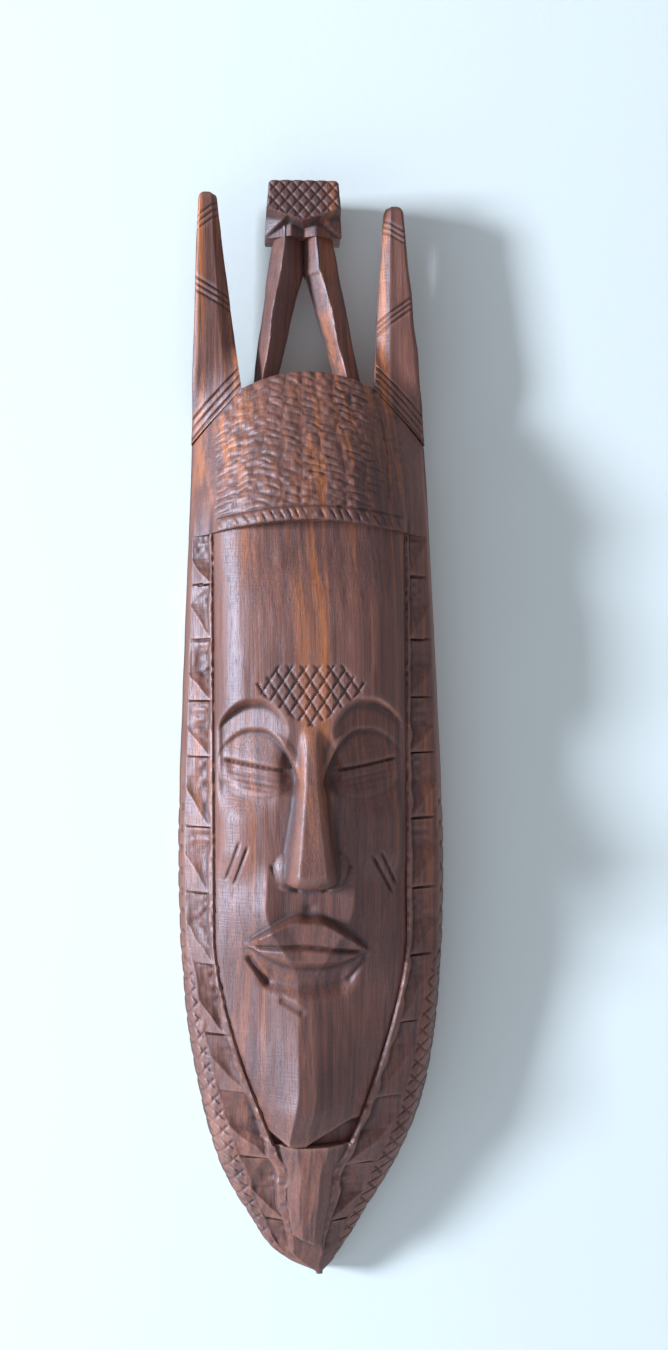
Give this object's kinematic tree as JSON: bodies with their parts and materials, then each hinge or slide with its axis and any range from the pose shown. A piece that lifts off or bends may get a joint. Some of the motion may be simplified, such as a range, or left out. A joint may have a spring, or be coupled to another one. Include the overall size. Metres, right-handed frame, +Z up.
{
  "type": "carved wooden wall mask",
  "caption": "Tall, slender carved wooden wall mask with horns, a crest over the coiffure, chip-carved borders, a pointed beard and a swinging hanger ring at its back.",
  "frame": {"origin": "the point on the wall plane, on the centre line, where the raised hanger ring rests on its nail", "axes": "+Z up towards the crest, +Y into the wall, so that a viewer looks along +Y at the face, +X to the viewer's right"},
  "size_m": [0.1206, 0.0659, 0.49],
  "materials": {
    "face_wood": "satin red-brown hardwood with fine vertical streaks",
    "coiffure_wood": "dark stained hardwood, rubbed lighter on the raised cuts",
    "border_wood": "satin hardwood with crisp knife facets",
    "horn_wood": "satin red-brown hardwood with pale cut grooves",
    "crest_wood": "satin dark red-brown hardwood",
    "zinc_plate": "dull zinc plate",
    "zinc_wire": "zinc-plated wire",
    "screw_steel": "yellow zinc-plated steel"
  },
  "bodies": {
    "mask": {"face": "face_wood", "coiffure": "coiffure_wood", "border_left": "border_wood", "border_right": "border_wood", "beard": "border_wood", "horn_left": "horn_wood", "horn_right": "horn_wood", "crest_leg_left": "crest_wood", "crest_leg_right": "crest_wood", "crest_block": "crest_wood", "hanger_strap": "zinc_plate", "hanger_screw_upper": "screw_steel", "hanger_screw_lower": "screw_steel"},
    "ring": {"hanger_ring": "zinc_wire"}
  },
  "joints": [
    {"name": "ring_swing", "type": "hinge", "parent": "mask", "child": "ring", "pos_m": [0, -0.00655, -0.0149], "axis": [-1, 0, 0], "range_deg": [0, 170]}
  ]
}
